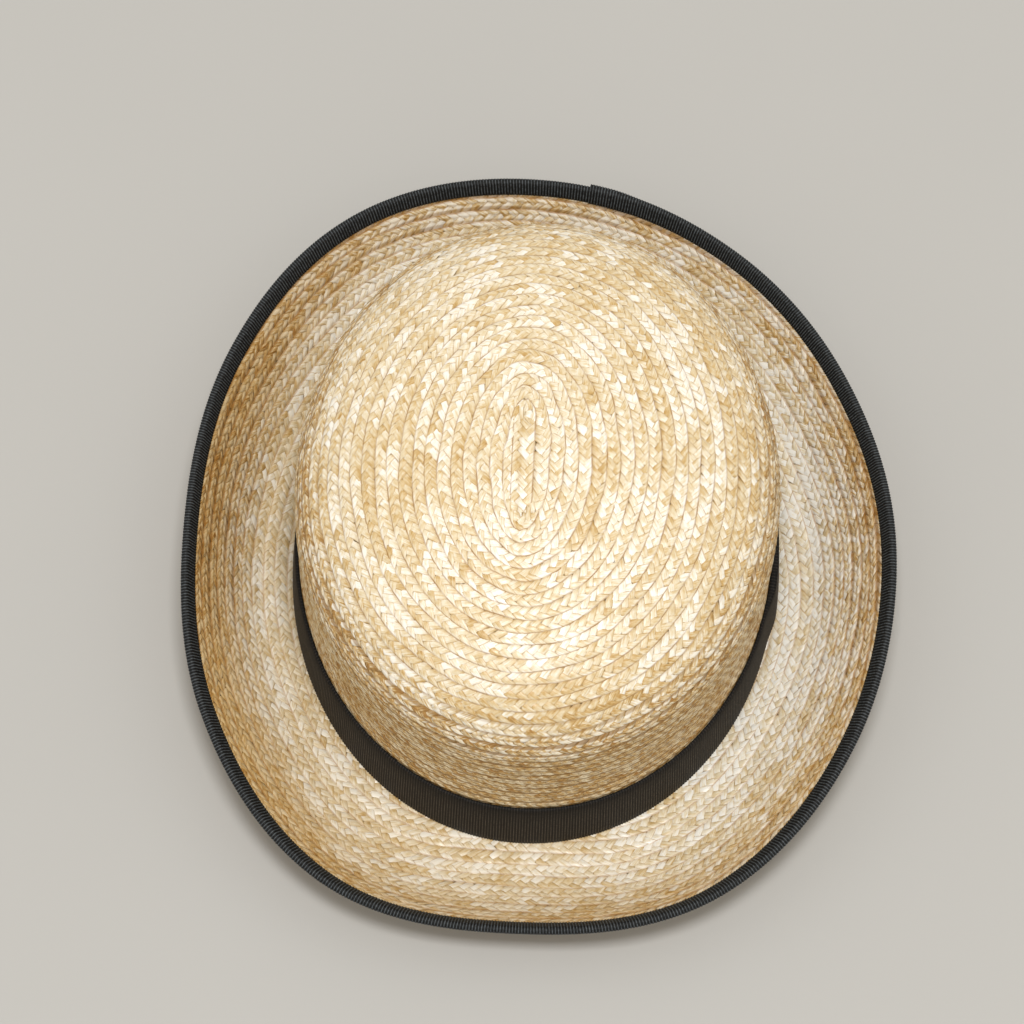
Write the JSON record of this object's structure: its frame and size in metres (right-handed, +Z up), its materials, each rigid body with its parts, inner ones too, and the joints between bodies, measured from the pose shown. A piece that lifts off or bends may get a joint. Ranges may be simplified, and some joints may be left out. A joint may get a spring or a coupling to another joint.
{
  "type": "straw bowler hat",
  "caption": "Straw bowler hat of sewn plait: hollow domed crown, brim curled up all round and highest at the sides, dark ribbed ribbon round the crown and ribbon-bound brim edge.",
  "frame": {"origin": "on the surface that the hat rests on, under the middle of the hat's outline", "axes": "+Z up through the crown, +Y to the back of the hat, +X to the wearer's left"},
  "size_m": [0.253, 0.2906, 0.1138],
  "materials": {
    "straw": "natural straw plait, satin",
    "band_ribbon": "ribbed ribbon, matte",
    "binding_ribbon": "ribbed ribbon, matte"
  },
  "bodies": {
    "root": {"crown": "straw", "brim": "straw", "crown_band": "band_ribbon", "brim_binding": "binding_ribbon"}
  },
  "joints": []
}
